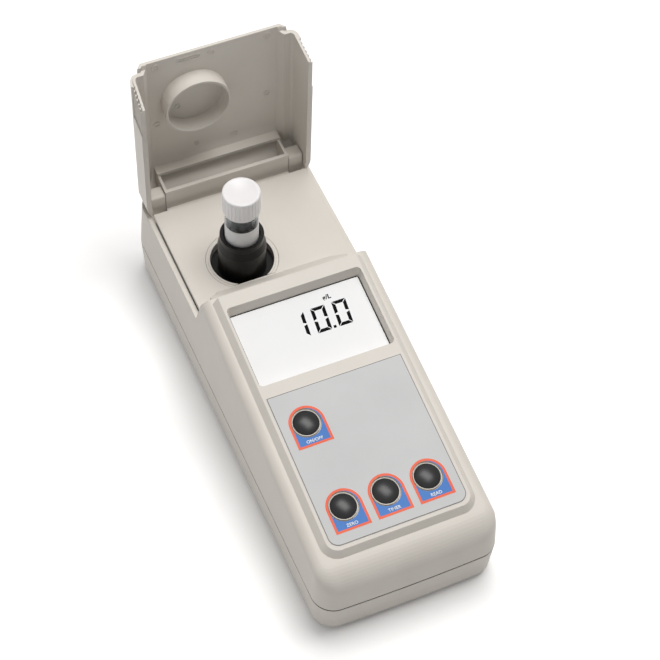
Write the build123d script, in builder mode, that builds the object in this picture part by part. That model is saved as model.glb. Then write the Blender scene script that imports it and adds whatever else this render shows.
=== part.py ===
import os
from math import atan, cos, degrees, hypot, radians, sin, sqrt, tan

from build123d import *

os.makedirs("parts", exist_ok=True)

# housing
body_length = 225.0
body_width = 85.0
body_corner = 10.0
front_bow = 0.9
foot_height = 2.0
lower_height = 17.8
side_draft = 3.8
wall = 2.4
lower_front_inset = 1.0
lower_side_inset = 0.8
bottom_round = 2.0
groove_height = 0.9
groove_depth = 1.5

# raised panel
panel_angle = 9.65
panel_front_height = 42.3
panel_half_width = 33.0
panel_front = 13.9
panel_rear = 139.4
step_depth = 3.2
step_run = 2.5
shoulder_radius = 4.4
front_radius = 9.0
crown_steps = 10
crown_tail = 20.0
nose_end = 147.0
nose_lean = 5.5
slope_foot = 155.0
slope_bevel = 5.0
edge_drop = 2.5
edge_round = 0.4
panel_corner = 9.0

# level deck
deck_height = 47.8
ledge_drop = 2.8
deck_gap = 0.6
lip_drop = 1.2

# cover and hinge
hinge_inset = 10.7
hinge_rise = 3.5
cover_top = 66.4
cover_skin = 2.2
cover_rim_gap = 0.4
cover_front_gap = 0.5
cover_inset = 2.0
edge_step = 0.8
hinge_pin_radius = 1.2
hinge_fit = 0.05
collar_distance = 167.6
collar_radius = 15.5
collar_wall = 1.0
collar_depth = 8.0
flap_drop = 3.2
flap_reach = 5.1
flap_thickness = 1.8
flap_half_width = 30.6
flap_rib = 1.3
bar_reach = 6.8
bar_thickness = 1.7
bar_height = 5.5
ear_gap = 0.3
ear_width = 6.7
ear_reach = 3.2
ear_depth = 6.9
ear_rise = 3.4
ear_round = 1.2
notch_rise = 1.8
grip_rear = 163.5
grip_rise = 12.6
grip_depth = 1.3
grip_ribs = 5
grip_rib = 0.9
grip_rib_sunk = 0.4
slot_width = 2.0
slot_height = 1.6
slot_x = 26.0

# sample well
well_x = -9.9
well_distance = 168.5
well_radius = 14.6
well_flat = 0.6
ring_radius = 16.7
ring_depth = 5.0
ring_fit = 0.12
block_radius = 17.6
block_floor = 44.0
block_clearance = 0.4
adapter_radius = 11.0
adapter_rim_radius = 10.0
adapter_top = 66.5
adapter_height = 27.5
adapter_travel = 32.0
adapter_fit = 0.06
glass_radius = 7.55
glass_wall = 1.1
glass_bottom = 43.2
glass_shoulder = 81.0
neck_radius = 6.2
cap_radius = 8.5
cap_height = 14.3
cap_ribs = 40
sample_level = 76.0
band_bottom = 61.2
band_height = 10.5
band_thickness = 0.12
cap_edge = 0.8
cap_top_band = 1.2
rib_groove = 0.28

# panel fittings
label_half_width = 31.45
label_front = 15.7
label_rear = 87.1
label_thickness = 0.25
label_corner = 4.5
window_half_width = 31.8
window_front = 93.2
window_rear = 132.8
window_depth = 5.0
window_corner = 2.0
window_taper = 1.6
window_shift = 0.6
window_lip = 0.8
frame_width = 1.0
carrier_rim = 11.0
glass_thickness = 2.2
key_radius = 5.5
key_ring = 6.2
key_recess = 6.8
key_recess_depth = 1.0
key_clearance = 0.3
key_proud = 1.3
key_dome = 1.1
key_travel = 0.6
key_height = 5.6
key_stem = 2.0
key_row = 31.15
key_top_row = 71.2
key_left = -19.75
key_middle = -0.45
key_right = 18.9

# inside
board_depth = 11.5
board_thickness = 1.6
board_width = 58.0
board_length = 116.0
board_middle = 77.0
board_hole_x = 27.0
board_hole_rows = (22.0, 90.0)
board_hole_radius = 1.6
switch_size = 6.0
switch_height = 3.0
switch_stem = 0.8
chip_size = 14.0
chip_place = (6.0, 60.0)
driver_size = (5.0, 9.0)
driver_place = (20.0, 78.0)
chip_height = 1.6
sounder_radius = 5.5
sounder_height = 4.2
sounder_place = (20.0, 62.0)
battery_length = 48.5
battery_width = 26.5
battery_thickness = 17.5
battery_distance = 96.0
clip_width = 22.0
clip_depth = 3.6
clip_height = 11.0
door_lap = 2.0
door_lip = 1.6
bay_height = 12.0
boss_x = 33.0
boss_front = 24.0
boss_inset = 39.0
boss_radius = 3.4
pillar_radius = 4.4
screw_radius = 1.3
screw_hole = 1.6
screw_head = 2.7
screw_head_height = 2.4
screw_seat = 5.0
screw_bite = 8.0
foot_inset = 12.0
foot_radius = 4.6
foot_socket = 5.0
foot_sunk = 0.8
jack_x = 20.0
jack_height = 11.0
jack_width = 9.0
jack_depth = 13.0
jack_bore = 3.2
jack_collar = 4.0
lamp_depth = 8.0
holder_width = 12.0
holder_rise = 6.0
lamp_radius = 2.5
filter_radius = 3.0
filter_thickness = 2.0
beam_height = 20.0
fit_gap = 0.3
mount_fit = 0.03

# worked out from the sizes above
hinge_distance = body_length - hinge_inset
hinge_height = deck_height + hinge_rise
cover_rear = body_length - cover_inset
overall_length = hinge_distance + cover_top - hinge_height
front = -overall_length / 2
half_width = body_width / 2
split_height = foot_height + lower_height
slope = tan(radians(panel_angle))
lean = tan(radians(side_draft))
tilt_sin = sin(radians(panel_angle))
tilt_cos = cos(radians(panel_angle))
upper_height = cover_top + step_depth
ledge_height = deck_height - ledge_drop
ledge_width = cover_skin + deck_gap
deck_half = half_width - lean * (ledge_height - split_height) - ledge_width
deck_rear = hinge_distance - flap_reach - 1.4
panel_run = 1 / tilt_cos
shoulder_rear = panel_front_height - step_depth + slope * nose_end
panel_rear_height = panel_front_height + slope * panel_rear
rear_edge_height = panel_rear_height - edge_drop
cap_top = glass_shoulder + cap_height
ear_inner = flap_half_width + ear_gap
ear_outer = ear_inner + ear_width
adapter_bottom = adapter_top - adapter_height
block_bottom = adapter_bottom - adapter_travel - block_clearance


def at(distance):
    return front + distance


def half_at(height):
    return half_width - lean * (height - split_height)


def outline(height, side, nose, tail, corner):
    with BuildSketch(Plane.XY.offset(height)) as shape:
        with BuildLine():
            left = -half_width + side
            right = half_width - side
            near = at(nose)
            far = at(body_length - tail)
            Line((left, near + front_bow), (left, far))
            Line((left, far), (right, far))
            Line((right, far), (right, near + front_bow))
            ThreePointArc((right, near + front_bow), (0, near), (left, near + front_bow))
        make_face()
        fillet(shape.vertices(), corner)
    return shape.sketch


# planes
panel_plane = Plane(
    origin=(0, at(0), panel_front_height),
    x_dir=(1, 0, 0),
    z_dir=(0, -sin(radians(panel_angle)), cos(radians(panel_angle))),
)
side_plane = Plane(origin=(0, 0, 0), x_dir=(0, 1, 0), z_dir=(1, 0, 0))
board_plane = panel_plane.offset(-board_depth)


def crown_layer(depth):
    drop = step_depth + depth
    nose = front_radius - sqrt(front_radius**2 - (front_radius - depth) ** 2)
    bite = max(shoulder_radius - depth, 0)
    side = shoulder_radius - sqrt(shoulder_radius**2 - bite**2)
    wall_foot = panel_front_height - drop * tilt_cos - split_height
    near = (lean * wall_foot - drop * tilt_sin) / (tilt_cos - lean * tilt_sin)
    far = (nose_end + crown_tail) * panel_run
    near_height = panel_front_height + near * tilt_sin - drop * tilt_cos
    far_height = panel_front_height + far * tilt_sin - drop * tilt_cos
    near_half = half_at(near_height) - side
    far_half = half_at(far_height) - side
    tip = near + nose
    with BuildSketch() as layer:
        with BuildLine():
            Line((-near_half, tip + front_bow), (-far_half, far))
            Line((-far_half, far), (far_half, far))
            Line((far_half, far), (near_half, tip + front_bow))
            ThreePointArc((near_half, tip + front_bow), (0, tip), (-near_half, tip + front_bow))
        make_face()
        fillet(layer.vertices(), body_corner - lean * (near_height - split_height) - (nose + side) / 2)
    return layer.sketch


# walls of the upper shell up to its rounded crown
with BuildPart() as upper_walls:
    with BuildSketch(Plane.XY.offset(split_height)):
        add(outline(0, 0, 0, body_length - nose_end - crown_tail, body_corner))
    with BuildSketch(panel_plane.offset(-step_depth - front_radius)):
        add(crown_layer(front_radius))
    loft()

# crown in layers parallel to the panel, wide at the front and tight along the sides
with BuildPart() as crown:
    for step in range(crown_steps + 1):
        layer_depth = front_radius * (1 - sin(radians(90 * step / crown_steps)))
        with BuildSketch(panel_plane.offset(-step_depth - layer_depth)):
            add(crown_layer(layer_depth))
    loft(ruled=True)

# lower block behind the raised part, up to the ledges
ledge_inset = lean * (ledge_height - split_height)
with BuildPart() as rear_block:
    with BuildSketch(Plane.XY.offset(split_height)):
        add(outline(0, 0, 0, 0, body_corner))
    with BuildSketch(Plane.XY.offset(ledge_height)):
        add(outline(0, ledge_inset, ledge_inset, ledge_inset, body_corner - ledge_inset))
    loft()
    with BuildSketch(Plane.XY.offset(split_height)):
        with Locations((0, at(nose_end - 5))):
            Rectangle(body_width + 10, body_length, align=(Align.CENTER, Align.MIN))
    extrude(amount=upper_height, mode=Mode.INTERSECT)

# leaning rear end of the raised part, ledges and level deck
with BuildPart() as upper_outside:
    add(upper_walls.part)
    add(crown.part)
    with BuildSketch(side_plane):
        with BuildLine():
            Polyline(
                (at(nose_end - nose_lean), shoulder_rear + 10),
                (at(nose_end - nose_lean), shoulder_rear - 1),
                (at(nose_end), ledge_height),
                (at(body_length + 10), ledge_height),
                (at(body_length + 10), upper_height + 10),
                (at(nose_end - nose_lean), upper_height + 10),
                close=True,
            )
        make_face()
    extrude(amount=body_width, both=True, mode=Mode.SUBTRACT)
    add(rear_block.part)
    with BuildSketch(Plane.XY.offset(split_height)):
        with Locations((0, at(panel_rear - 6))):
            Rectangle(2 * deck_half, deck_rear - panel_rear + 6, align=(Align.CENTER, Align.MIN))
    extrude(amount=deck_height - split_height)

# raised panel with its sloping walls
panel_base = panel_plane.offset(-step_depth - 1.5)
base_run = step_run * (step_depth + 1.5) / step_depth
base_taper = degrees(atan(step_run / step_depth))
with BuildPart() as raised_panel:
    with BuildSketch(panel_base) as panel_foot:
        with Locations((0, (panel_front - base_run) * panel_run)):
            Rectangle(
                2 * (panel_half_width + base_run),
                (slope_foot + 10 - panel_front) * panel_run,
                align=(Align.CENTER, Align.MIN),
            )
        fillet(panel_foot.vertices().sort_by(Axis.Y)[:2], panel_corner)
    extrude(amount=step_depth + 1.5, taper=base_taper)
    with BuildSketch(side_plane):
        with BuildLine():
            Polyline(
                (at(-5), split_height),
                (at(-5), cover_top + 20),
                (at(panel_rear), cover_top + 20),
                (at(panel_rear), split_height),
                close=True,
            )
        make_face()
    extrude(amount=body_width, both=True, mode=Mode.INTERSECT)
    fillet(raised_panel.faces().sort_by(Axis.Z)[-1].edges(), edge_round)

# sloping end between panel and deck, bevelled at both sides
with BuildPart() as rear_slope:
    with BuildSketch(side_plane):
        with BuildLine():
            Polyline(
                (at(panel_rear - 6), deck_height - 6),
                (at(panel_rear - 6), rear_edge_height),
                (at(panel_rear), rear_edge_height),
                (at(slope_foot), deck_height),
                (at(slope_foot), deck_height - 6),
                close=True,
            )
        make_face()
    extrude(amount=panel_half_width, both=True)
    with BuildSketch(Plane.XY.offset(deck_height - 10)):
        with BuildLine():
            Polyline(
                (-panel_half_width, at(panel_rear - 8)),
                (-panel_half_width, at(slope_foot - slope_bevel - 1)),
                (-panel_half_width + slope_bevel, at(slope_foot - 1.5)),
                (-panel_half_width + slope_bevel, at(slope_foot)),
                (panel_half_width - slope_bevel, at(slope_foot)),
                (panel_half_width - slope_bevel, at(slope_foot - 1.5)),
                (panel_half_width, at(slope_foot - slope_bevel - 1)),
                (panel_half_width, at(panel_rear - 8)),
                close=True,
            )
        make_face()
    extrude(amount=60, mode=Mode.INTERSECT)

# room that the turning cover sweeps behind the deck
cover_rim = ledge_height + cover_rim_gap
rim_drop = hinge_height - cover_rim
corner_centre = cover_rear - body_corner
cover_half = half_at(ledge_height)
sweep_points = []
for step in range(9):
    across = (cover_half - body_corner) + body_corner * step / 8
    reach = corner_centre + sqrt(max(body_corner**2 - (body_corner * step / 8) ** 2, 0)) - hinge_distance
    sweep_points.append((across, hypot(max(reach, 0), rim_drop) + cover_rim_gap))
mirrored_points = [(-across, radius) for across, radius in reversed(sweep_points)]
with BuildPart() as cover_sweep:
    with BuildSketch(Plane(origin=(0, at(hinge_distance), hinge_height), x_dir=(1, 0, 0), z_dir=(0, -1, 0))):
        with BuildLine():
            Polyline(
                (-half_width - 2, 0),
                (-half_width - 2, sweep_points[-1][1]),
                *mirrored_points,
                *sweep_points,
                (half_width + 2, sweep_points[-1][1]),
                (half_width + 2, 0),
                close=True,
            )
        make_face()
    revolve(axis=Axis((0, at(hinge_distance), hinge_height), (1, 0, 0)))
    with BuildSketch(side_plane):
        with Locations((at(deck_rear + 0.01), 0)):
            Rectangle(60, 120, align=(Align.MIN, Align.MIN))
    extrude(amount=body_width, both=True, mode=Mode.INTERSECT)

# inside of the upper shell
inner_rise = panel_rear_height - split_height
with BuildPart() as upper_inside:
    with BuildSketch(Plane.XY.offset(split_height - 2)):
        add(outline(0, wall, wall, wall, body_corner - wall))
    with BuildSketch(Plane.XY.offset(split_height + inner_rise)):
        inset = wall + lean * inner_rise
        add(outline(0, inset, inset, inset, body_corner - wall - lean * inner_rise))
    loft()
    with BuildSketch(side_plane):
        with BuildLine():
            Polyline(
                (at(0), split_height - 3),
                (at(0), panel_front_height - step_depth - wall - 4),
                (at(nose_end - nose_lean - wall - 1), shoulder_rear - wall - 2.5),
                (at(nose_end - wall - 1), deck_height - wall),
                (at(deck_rear - wall), deck_height - wall),
                (at(deck_rear - wall - 4), deck_height - 13),
                (at(deck_rear - wall), deck_height - 16),
                (at(body_length), deck_height - 16),
                (at(body_length), split_height - 3),
                close=True,
            )
        make_face()
    extrude(amount=body_width, both=True, mode=Mode.INTERSECT)

# room under the raised panel
with BuildPart() as panel_inside:
    with BuildSketch(panel_plane.offset(-wall)):
        with Locations((0, (panel_front + 2) * panel_run)):
            Rectangle(
                2 * panel_half_width - 3,
                (panel_rear - panel_front - 6) * panel_run,
                align=(Align.CENTER, Align.MIN),
            )
    extrude(amount=-10)

# places on the panel
key_places = [
    (key_left, key_top_row * panel_run),
    (key_left, key_row * panel_run),
    (key_middle, key_row * panel_run),
    (key_right, key_row * panel_run),
]
key_names = ["on_off_key", "zero_key", "timer_key", "read_key"]
window_centre = (window_front + window_rear) / 2 * panel_run
window_length = (window_rear - window_front) * panel_run
glass_centre = window_centre - window_shift
glass_width = 2 * window_half_width - window_taper
glass_length = window_length - window_taper - window_lip

# upper shell
front_bosses = [(-boss_x, at(boss_front)), (boss_x, at(boss_front))]
rear_bosses = [(-boss_x, at(body_length - boss_inset)), (boss_x, at(body_length - boss_inset))]
boss_places = front_bosses + rear_bosses
lip_height = ledge_height - lip_drop
with BuildPart() as upper_shell:
    add(upper_outside.part)
    add(raised_panel.part)
    add(rear_slope.part)
    add(cover_sweep.part, mode=Mode.SUBTRACT)
    # rear lip
    with BuildSketch(Plane.XY.offset(lip_height)):
        with Locations((0, at(hinge_distance))):
            Rectangle(2 * (cover_half - body_corner), 30, align=(Align.CENTER, Align.MIN))
    extrude(amount=20, mode=Mode.SUBTRACT)
    add(upper_inside.part, mode=Mode.SUBTRACT)
    add(panel_inside.part, mode=Mode.SUBTRACT)
    # hinge ears
    for ear_start in (-ear_outer, ear_inner):
        with BuildSketch(side_plane.offset(ear_start)) as ear:
            with Locations((at(hinge_distance - ear_reach), ledge_height - 8)):
                Rectangle(ear_depth, hinge_height + ear_rise - ledge_height + 8, align=(Align.MIN, Align.MIN))
            fillet(ear.vertices().group_by(Axis.Y)[-1], ear_round)
        extrude(amount=ear_width)
    # hinge pin holes
    with BuildSketch(side_plane.offset(-ear_outer)):
        with Locations((at(hinge_distance), hinge_height)):
            Circle(hinge_pin_radius)
    extrude(amount=2 * ear_outer, mode=Mode.SUBTRACT)
    # screw bosses
    with BuildSketch(Plane.XY.offset(split_height)):
        with Locations(*front_bosses):
            Circle(boss_radius)
    extrude(amount=panel_front_height - step_depth - 1 - split_height)
    with BuildSketch(Plane.XY.offset(split_height)):
        with Locations(*rear_bosses):
            Circle(boss_radius)
    extrude(amount=deck_height - 1 - split_height)
    with BuildSketch(Plane.XY.offset(split_height)):
        with Locations(*boss_places):
            Circle(screw_radius)
    extrude(amount=screw_bite + 1, mode=Mode.SUBTRACT)
    # sample well opening
    with BuildSketch(Plane.XY.offset(deck_height - 20)):
        with Locations((well_x, at(well_distance))):
            Circle(ring_radius)
        with Locations((well_x, at(slope_foot + well_flat))):
            Rectangle(60, 20, align=(Align.CENTER, Align.MAX), mode=Mode.SUBTRACT)
    extrude(amount=40, mode=Mode.SUBTRACT)
    # display window and the wall round it
    with BuildSketch(panel_plane.offset(-window_depth - glass_thickness)):
        with Locations((0, window_centre)):
            Rectangle(2 * window_half_width + 3, window_length + 3)
    extrude(amount=window_depth + glass_thickness - 1)
    with BuildSketch(panel_plane):
        with Locations((0, window_centre)):
            RectangleRounded(2 * window_half_width, window_length, window_corner)
    with BuildSketch(panel_plane.offset(-window_depth)):
        with Locations((0, glass_centre)):
            RectangleRounded(glass_width, glass_length, window_corner - window_taper / 2)
    loft(mode=Mode.SUBTRACT)
    with BuildSketch(panel_plane.offset(-window_depth)):
        with Locations((0, glass_centre)):
            Rectangle(glass_width, glass_length)
    extrude(amount=-glass_thickness - 1, mode=Mode.SUBTRACT)
    # key openings, each with a thin ring in a round recess
    with BuildSketch(panel_plane):
        with Locations(*key_places):
            Circle(key_recess)
            Circle(key_ring, mode=Mode.SUBTRACT)
    extrude(amount=-key_recess_depth, mode=Mode.SUBTRACT)
    with BuildSketch(panel_plane.offset(-key_recess_depth)):
        with Locations(*key_places):
            Circle(key_ring)
    extrude(amount=key_recess_depth + label_thickness)
    with BuildSketch(panel_plane.offset(-board_depth)):
        with Locations(*key_places):
            Circle(key_radius + key_clearance)
    extrude(amount=2 * board_depth, mode=Mode.SUBTRACT)
upper_shell.part.label = "upper_shell"
export_step(upper_shell.part, "parts/upper_shell.step")

# lower shell
with BuildPart() as lower_block:
    with BuildSketch(Plane.XY.offset(foot_height)):
        add(outline(0, lower_side_inset, lower_front_inset, lower_side_inset, body_corner))
    with BuildSketch(Plane.XY.offset(split_height)):
        add(outline(0, 0, 0, 0, body_corner))
    loft()
    fillet(lower_block.faces().sort_by(Axis.Z)[0].edges(), bottom_round)
door_length = battery_length + 6
door_width = battery_width + 4
bay_width = battery_width + 2 * fit_gap
foot_rear = body_length - foot_inset
foot_places = [(side * boss_x, at(end)) for side in (-1, 1) for end in (foot_inset, foot_rear)]
jack_plane = Plane(origin=(jack_x, at(body_length + 5), jack_height), x_dir=(1, 0, 0), z_dir=(0, -1, 0))
with BuildPart() as lower_shell:
    add(lower_block.part)
    # parting groove
    with BuildSketch(Plane.XY.offset(split_height - groove_height)):
        add(outline(0, -3, -3, -3, body_corner))
        add(outline(0, groove_depth, groove_depth, groove_depth, body_corner), mode=Mode.SUBTRACT)
    extrude(amount=groove_height, mode=Mode.SUBTRACT)
    with BuildSketch(Plane.XY.offset(foot_height + wall)):
        inset = wall + lower_side_inset
        add(outline(0, inset, wall + lower_front_inset, inset, body_corner - wall))
    extrude(amount=lower_height, mode=Mode.SUBTRACT)
    # screw pillars
    with BuildSketch(Plane.XY.offset(foot_height + wall - 1)):
        with Locations(*boss_places):
            Circle(pillar_radius)
    extrude(amount=lower_height - wall + 1)
    with BuildSketch(Plane.XY.offset(foot_height)):
        with Locations(*boss_places):
            Circle(screw_hole)
    extrude(amount=lower_height, mode=Mode.SUBTRACT)
    with BuildSketch(Plane.XY.offset(foot_height)):
        with Locations(*boss_places):
            Circle(screw_head + fit_gap)
    extrude(amount=screw_seat, mode=Mode.SUBTRACT)
    # foot recesses
    with BuildSketch(Plane.XY.offset(foot_height)):
        with Locations(*foot_places):
            Circle(foot_socket)
    extrude(amount=foot_sunk, mode=Mode.SUBTRACT)
    # battery bay walls and door opening
    with BuildSketch(Plane.XY.offset(foot_height + wall - 1)):
        with Locations((0, at(battery_distance))):
            Rectangle(door_width + 2 * wall, door_length + 2 * wall)
            Rectangle(bay_width, door_length, mode=Mode.SUBTRACT)
    extrude(amount=bay_height)
    with BuildSketch(Plane.XY.offset(foot_height)):
        with Locations((0, at(battery_distance))):
            Rectangle(bay_width, door_length)
    extrude(amount=2 * wall, mode=Mode.SUBTRACT)
    with BuildSketch(Plane.XY.offset(foot_height)):
        with Locations((0, at(battery_distance))):
            Rectangle(door_width, door_length + 2 * door_lap)
    extrude(amount=door_lip, mode=Mode.SUBTRACT)
    # power jack opening
    with BuildSketch(jack_plane):
        Circle(jack_collar + fit_gap)
    extrude(amount=12, mode=Mode.SUBTRACT)
lower_shell.part.label = "lower_shell"
export_step(lower_shell.part, "parts/lower_shell.step")

# battery door
with BuildPart() as battery_door:
    with BuildSketch(Plane.XY.offset(foot_height)):
        with Locations((0, at(battery_distance))):
            Rectangle(door_width - 2 * fit_gap, door_length + 2 * door_lap - 2 * fit_gap)
    extrude(amount=door_lip - fit_gap / 2)
    with BuildSketch(Plane.XY.offset(foot_height)):
        with Locations((0, at(battery_distance))):
            Rectangle(battery_width - 2 * fit_gap, door_length - 2 * fit_gap)
    extrude(amount=wall)
    for offset in (-4.0, 0.0, 4.0):
        with BuildSketch(Plane.XY.offset(foot_height)):
            with Locations((0, at(battery_distance - door_length / 2 + 9 + offset))):
                Rectangle(14, 1.2)
        extrude(amount=0.6, mode=Mode.SUBTRACT)
battery_door.part.label = "battery_door"
export_step(battery_door.part, "parts/battery_door.step")

# feet
with BuildPart() as rubber_feet:
    with BuildSketch(Plane.XY):
        with Locations(*foot_places):
            Circle(foot_radius)
    extrude(amount=foot_height + foot_sunk)
rubber_feet.part.label = "rubber_feet"
export_step(rubber_feet.part, "parts/rubber_feet.step")

# housing screws
with BuildPart() as housing_screws:
    with BuildSketch(Plane.XY.offset(foot_height + screw_seat - screw_head_height)):
        with Locations(*boss_places):
            Circle(screw_head)
    extrude(amount=screw_head_height)
    with BuildSketch(Plane.XY.offset(foot_height + screw_seat)):
        with Locations(*boss_places):
            Circle(screw_radius)
    extrude(amount=split_height + screw_bite - foot_height - screw_seat)
    with BuildSketch(Plane.XY.offset(foot_height + screw_seat - screw_head_height)):
        with Locations(*boss_places):
            Rectangle(2.6 * screw_radius, 0.7)
            Rectangle(0.7, 2.6 * screw_radius)
    extrude(amount=screw_head_height / 2, mode=Mode.SUBTRACT)
housing_screws.part.label = "housing_screws"
export_step(housing_screws.part, "parts/housing_screws.step")

# key label
with BuildPart() as key_label:
    with BuildSketch(panel_plane) as label_shape:
        with Locations((0, (label_front + label_rear) / 2 * panel_run)):
            Rectangle(2 * label_half_width, (label_rear - label_front) * panel_run)
        fillet(label_shape.vertices().sort_by(Axis.Y)[:2], label_corner)
        with Locations(*key_places):
            Circle(key_recess, mode=Mode.SUBTRACT)
    extrude(amount=label_thickness)
key_label.part.label = "key_label"
export_step(key_label.part, "parts/key_label.step")

# keys with domed tops, each standing over its switch
stem_foot = switch_height + switch_stem + key_travel + 0.1 - board_depth
dome_radius = (key_radius**2 + key_dome**2) / (2 * key_dome)
dome_middle = key_radius / 2
dome_height = key_proud - dome_radius + sqrt(dome_radius**2 - dome_middle**2)
for place, name in zip(key_places, key_names):
    key_origin = panel_plane.from_local_coords((place[0], place[1], 0))
    with BuildPart() as key:
        with BuildSketch(Plane(origin=key_origin, x_dir=(1, 0, 0), z_dir=-panel_plane.y_dir)):
            with BuildLine():
                Line((0, stem_foot), (key_stem, stem_foot))
                Line((key_stem, stem_foot), (key_stem, -key_height))
                Line((key_stem, -key_height), (key_radius, -key_height))
                Line((key_radius, -key_height), (key_radius, key_proud - key_dome))
                ThreePointArc(
                    (key_radius, key_proud - key_dome),
                    (dome_middle, dome_height),
                    (0, key_proud),
                )
                Line((0, key_proud), (0, stem_foot))
            make_face()
        revolve(axis=Axis(key_origin, panel_plane.z_dir))
    key.part.label = name
    export_step(key.part, "parts/" + name + ".step")

# display glass and its thin frame
with BuildPart() as display_glass:
    with BuildSketch(panel_plane.offset(-window_depth)):
        with Locations((0, glass_centre)):
            Rectangle(glass_width - frame_width, glass_length - frame_width)
    extrude(amount=-glass_thickness)
display_glass.part.label = "display_glass"
export_step(display_glass.part, "parts/display_glass.step")

with BuildPart() as display_frame:
    with BuildSketch(panel_plane.offset(-window_depth)):
        with Locations((0, glass_centre)):
            Rectangle(glass_width, glass_length)
            Rectangle(glass_width - frame_width, glass_length - frame_width, mode=Mode.SUBTRACT)
    extrude(amount=-glass_thickness)
display_frame.part.label = "display_frame"
export_step(display_frame.part, "parts/display_frame.step")

# display carrier down to the board
with BuildPart() as display_carrier:
    with BuildSketch(panel_plane.offset(-window_depth - glass_thickness)):
        with Locations((0, glass_centre)):
            Rectangle(glass_width - frame_width, glass_length - frame_width)
            Rectangle(glass_width - carrier_rim, glass_length - carrier_rim, mode=Mode.SUBTRACT)
    extrude(amount=-(board_depth - window_depth - glass_thickness))
display_carrier.part.label = "display_carrier"
export_step(display_carrier.part, "parts/display_carrier.step")

# main board
board_holes = [(side * board_hole_x, row * panel_run) for side in (-1, 1) for row in board_hole_rows]
with BuildPart() as main_board:
    with BuildSketch(board_plane):
        with Locations((0, board_middle * panel_run)):
            Rectangle(board_width, board_length * panel_run)
        with Locations(*board_holes):
            Circle(board_hole_radius, mode=Mode.SUBTRACT)
    extrude(amount=-board_thickness)
main_board.part.label = "main_board"
export_step(main_board.part, "parts/main_board.step")

# board screws
with BuildPart() as board_screws:
    with BuildSketch(board_plane.offset(-board_thickness)):
        with Locations(*board_holes):
            Circle(board_hole_radius + 1)
    extrude(amount=-1.8)
    with BuildSketch(board_plane.offset(-board_thickness)):
        with Locations(*board_holes):
            Circle(board_hole_radius - fit_gap)
    extrude(amount=5.5)
board_screws.part.label = "board_screws"
export_step(board_screws.part, "parts/board_screws.step")

# key switches
with BuildPart() as key_switches:
    with BuildSketch(board_plane):
        with Locations(*key_places):
            Rectangle(switch_size, switch_size)
    extrude(amount=switch_height)
    with BuildSketch(board_plane.offset(switch_height)):
        with Locations(*key_places):
            Circle(key_stem - fit_gap)
    extrude(amount=switch_stem)
key_switches.part.label = "key_switches"
export_step(key_switches.part, "parts/key_switches.step")

# processor and driver chips
with BuildPart() as board_chips:
    with BuildSketch(board_plane):
        with Locations((chip_place[0], chip_place[1] * panel_run)):
            Rectangle(chip_size, chip_size)
        with Locations((driver_place[0], driver_place[1] * panel_run)):
            Rectangle(*driver_size)
    extrude(amount=chip_height)
board_chips.part.label = "board_chips"
export_step(board_chips.part, "parts/board_chips.step")

# sounder with its small opening
with BuildPart() as sounder:
    with BuildSketch(board_plane):
        with Locations((sounder_place[0], sounder_place[1] * panel_run)):
            Circle(sounder_radius)
    extrude(amount=sounder_height)
    with BuildSketch(board_plane.offset(sounder_height - 1)):
        with Locations((sounder_place[0], sounder_place[1] * panel_run)):
            Circle(1)
    extrude(amount=1, mode=Mode.SUBTRACT)
sounder.part.label = "sounder"
export_step(sounder.part, "parts/sounder.step")

# ring round the sample well
with BuildPart() as well_ring:
    with BuildSketch(Plane.XY.offset(deck_height - ring_depth)):
        with Locations((well_x, at(well_distance))):
            Circle(ring_radius - ring_fit)
            Circle(well_radius, mode=Mode.SUBTRACT)
        with Locations((well_x, at(slope_foot + well_flat + ring_fit))):
            Rectangle(60, 20, align=(Align.CENTER, Align.MAX), mode=Mode.SUBTRACT)
    extrude(amount=ring_depth)
well_ring.part.label = "well_ring"
export_step(well_ring.part, "parts/well_ring.step")

# sample well block
block_top = deck_height - ring_depth
with BuildPart() as well_block:
    with BuildSketch(Plane.XY.offset(foot_height + wall)):
        with Locations((well_x, at(well_distance))):
            Circle(block_radius)
    extrude(amount=block_top - foot_height - wall)
    with BuildSketch(Plane.XY.offset(block_top)):
        with Locations((well_x, at(well_distance))):
            Circle(well_radius - ring_fit)
    extrude(amount=block_floor - block_top)
    with BuildSketch(Plane.XY.offset(block_bottom)):
        with Locations((well_x, at(well_distance))):
            Circle(adapter_radius + adapter_fit)
    extrude(amount=50, mode=Mode.SUBTRACT)
    with BuildSketch(side_plane.offset(well_x - block_radius - 1)):
        with Locations((at(well_distance), beam_height)):
            Circle(filter_radius)
    extrude(amount=2 * block_radius + 2, mode=Mode.SUBTRACT)
well_block.part.label = "well_block"
export_step(well_block.part, "parts/well_block.step")

# lamp, filter and detector on either side of the block
lamp_face = well_x - block_radius
filter_face = well_x + block_radius
holder_height = beam_height + holder_rise - foot_height - wall
with BuildPart() as lamp_holder:
    with BuildSketch(Plane.XY.offset(foot_height + wall)):
        with Locations((lamp_face + 2, at(well_distance))):
            Rectangle(lamp_depth, holder_width, align=(Align.MAX, Align.CENTER))
        with Locations((well_x, at(well_distance))):
            Circle(block_radius + mount_fit, mode=Mode.SUBTRACT)
    extrude(amount=holder_height)
    with BuildSketch(side_plane.offset(lamp_face - lamp_depth)):
        with Locations((at(well_distance), beam_height)):
            Circle(lamp_radius + mount_fit)
    extrude(amount=2 * lamp_depth, mode=Mode.SUBTRACT)
lamp_holder.part.label = "lamp_holder"
export_step(lamp_holder.part, "parts/lamp_holder.step")

with BuildPart() as lamp:
    with BuildSketch(side_plane.offset(lamp_face + 2 - lamp_depth)):
        with Locations((at(well_distance), beam_height)):
            Circle(lamp_radius)
    extrude(amount=lamp_depth - 3)
lamp.part.label = "lamp"
export_step(lamp.part, "parts/lamp.step")

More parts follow.
